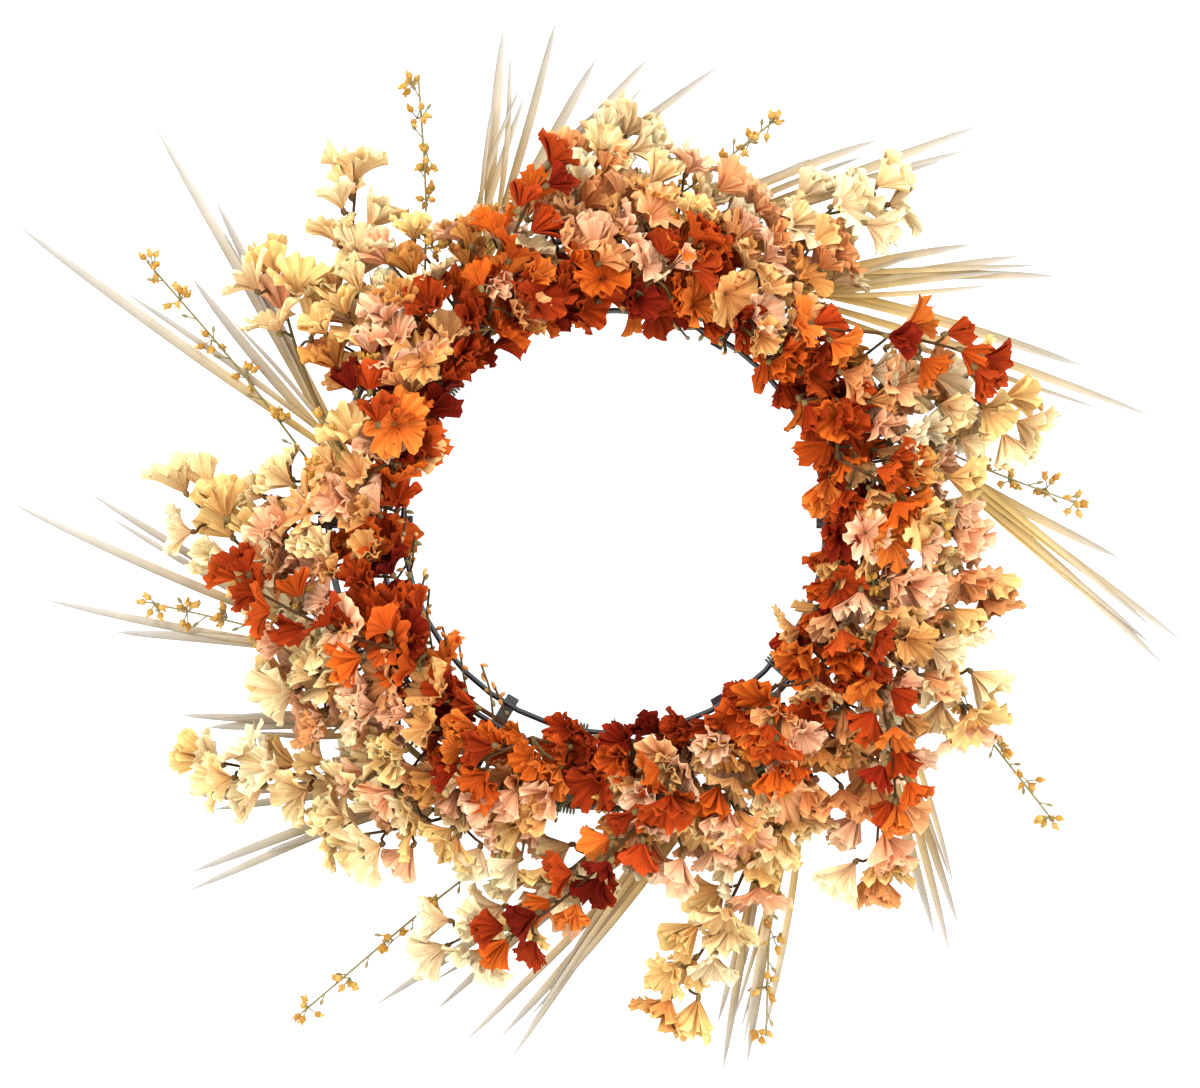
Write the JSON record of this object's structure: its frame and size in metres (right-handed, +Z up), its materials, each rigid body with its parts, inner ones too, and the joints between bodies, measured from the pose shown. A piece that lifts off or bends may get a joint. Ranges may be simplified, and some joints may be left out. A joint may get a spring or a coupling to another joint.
{
  "type": "door wreath",
  "caption": "Round harvest door wreath: wire ring frame carrying swirled fabric blossom sprays, straw blades and berry sprigs, with a swinging hanging loop.",
  "frame": {"origin": "where a door hook bears: the underside of the frame's inner rail at the top of the ring", "axes": "+Z up, +X to the right as seen from the front, +Y back towards the door, so the wreath faces -Y"},
  "size_m": [0.7163, 0.112, 0.6424],
  "materials": {
    "frame_wire": "gloss black",
    "loop_wire": "gloss black",
    "binding_wire": "satin dark green",
    "cream_petals": "matt pleated fabric",
    "peach_petals": "matt pleated fabric",
    "rust_petals": "matt pleated fabric",
    "straw_blades": "matt, fibrous",
    "berries": "satin"
  },
  "bodies": {
    "wreath": {"frame_inner_rail": "frame_wire", "frame_second_rail": "frame_wire", "frame_third_rail": "frame_wire", "frame_outer_rail": "frame_wire", "frame_cross_rib_1": "frame_wire", "frame_cross_rib_2": "frame_wire", "frame_cross_rib_3": "frame_wire", "frame_cross_rib_4": "frame_wire", "frame_cross_rib_5": "frame_wire", "frame_cross_rib_6": "frame_wire", "binding_wrap_1": "binding_wire", "binding_wrap_2": "binding_wire", "binding_wrap_3": "binding_wire", "binding_wrap_4": "binding_wire", "binding_wrap_5": "binding_wire", "binding_wrap_6": "binding_wire", "cream_spray_1": "cream_petals", "cream_spray_2": "cream_petals", "cream_spray_3": "cream_petals", "cream_spray_4": "cream_petals", "cream_spray_5": "cream_petals", "cream_spray_6": "cream_petals", "cream_spray_7": "cream_petals", "cream_spray_8": "cream_petals", "cream_spray_9": "cream_petals", "cream_spray_10": "cream_petals", "cream_spray_11": "cream_petals", "peach_spray_1": "peach_petals", "peach_spray_2": "peach_petals", "peach_spray_3": "peach_petals", "rust_spray_1": "rust_petals", "rust_spray_2": "rust_petals", "rust_spray_3": "rust_petals", "rust_spray_4": "rust_petals", "rust_spray_5": "rust_petals", "rust_spray_6": "rust_petals", "rust_spray_7": "rust_petals", "rust_spray_8": "rust_petals", "rust_spray_9": "rust_petals", "rust_spray_10": "rust_petals", "blade_pick_1": "straw_blades", "blade_pick_2": "straw_blades", "blade_pick_3": "straw_blades", "blade_pick_4": "straw_blades", "blade_pick_5": "straw_blades", "blade_pick_6": "straw_blades", "blade_pick_7": "straw_blades", "blade_pick_8": "straw_blades", "blade_pick_9": "straw_blades", "blade_pick_10": "straw_blades", "blade_pick_11": "straw_blades", "berry_sprig_1": "berries", "berry_sprig_2": "berries", "berry_sprig_3": "berries", "berry_sprig_4": "berries", "berry_sprig_5": "berries", "berry_sprig_6": "berries", "berry_sprig_7": "berries", "berry_sprig_8": "berries"},
    "hanging_loop": {"hanging_loop": "loop_wire"}
  },
  "joints": [
    {"name": "loop_hinge", "type": "hinge", "parent": "wreath", "child": "hanging_loop", "pos_m": [0, 0, 0.04706], "axis": [1, 0, 0], "range_deg": [0, 165]}
  ]
}
